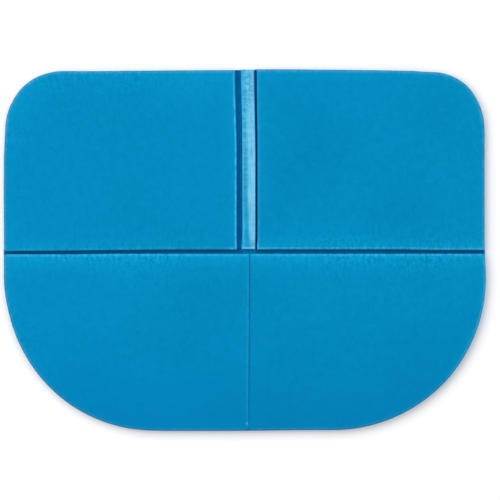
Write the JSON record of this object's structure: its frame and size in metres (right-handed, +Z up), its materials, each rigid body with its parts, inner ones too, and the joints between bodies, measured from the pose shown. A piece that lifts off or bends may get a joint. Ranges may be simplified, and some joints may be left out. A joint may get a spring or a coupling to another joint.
{
  "type": "folding foam pad",
  "caption": "Thin folding foam pad with rounded corners: panels joined by pressed hinge grooves and a spine strip, so that it folds across and then lengthwise.",
  "frame": {"origin": "middle of the pad's outline, on the floor that it lies on", "axes": "+X across the pad, +Y towards the two small corners, +Z up out of the face that is used"},
  "size_m": [0.4, 0.3, 0.008],
  "materials": {
    "panel_foam": "matte",
    "spine_foam": "satin",
    "pressed_web": "satin"
  },
  "bodies": {
    "lower_left": {"panel_lower_left": "panel_foam", "hinge_web_cross_left": "pressed_web", "hinge_web_lower_crease": "panel_foam"},
    "lower_right": {"panel_lower_right": "panel_foam", "hinge_web_cross_right": "pressed_web"},
    "upper_left": {"panel_upper_left": "panel_foam", "hinge_web_spine_left": "pressed_web"},
    "upper_right": {"panel_upper_right": "panel_foam", "hinge_web_spine_right": "pressed_web"},
    "centre_web": {"hinge_web_cross_centre": "pressed_web"},
    "spine": {"spine_strip": "spine_foam"}
  },
  "joints": [
    {"name": "fold_across", "type": "hinge", "parent": "lower_left", "child": "upper_left", "pos_m": [0, -0.0013, -0.00015], "axis": [-1, 0, 0], "range_deg": [0, 179]},
    {"name": "fold_lengthwise", "type": "hinge", "parent": "lower_left", "child": "lower_right", "pos_m": [0.0036, 0, 0.00815], "axis": [0, -1, 0], "range_deg": [0, 179]},
    {"name": "fold_across_right", "type": "hinge", "parent": "lower_right", "child": "upper_right", "pos_m": [0, -0.0013, -0.00015], "axis": [-1, 0, 0], "range_deg": [0, 179]},
    {"name": "spine_turn", "type": "hinge", "parent": "lower_left", "child": "centre_web", "pos_m": [0.0004, 0, 0.0048], "axis": [0, -1, 0], "range_deg": [0, 89.5]},
    {"name": "spine_fold_across", "type": "hinge", "parent": "centre_web", "child": "spine", "pos_m": [0, -0.0013, -0.00015], "axis": [-1, 0, 0], "range_deg": [0, 179]}
  ],
  "couplings": [
    {"joint": "fold_across_right", "follows": "fold_across", "ratio": 1},
    {"joint": "spine_fold_across", "follows": "fold_across", "ratio": 1},
    {"joint": "spine_turn", "follows": "fold_lengthwise", "ratio": 0.5}
  ]
}
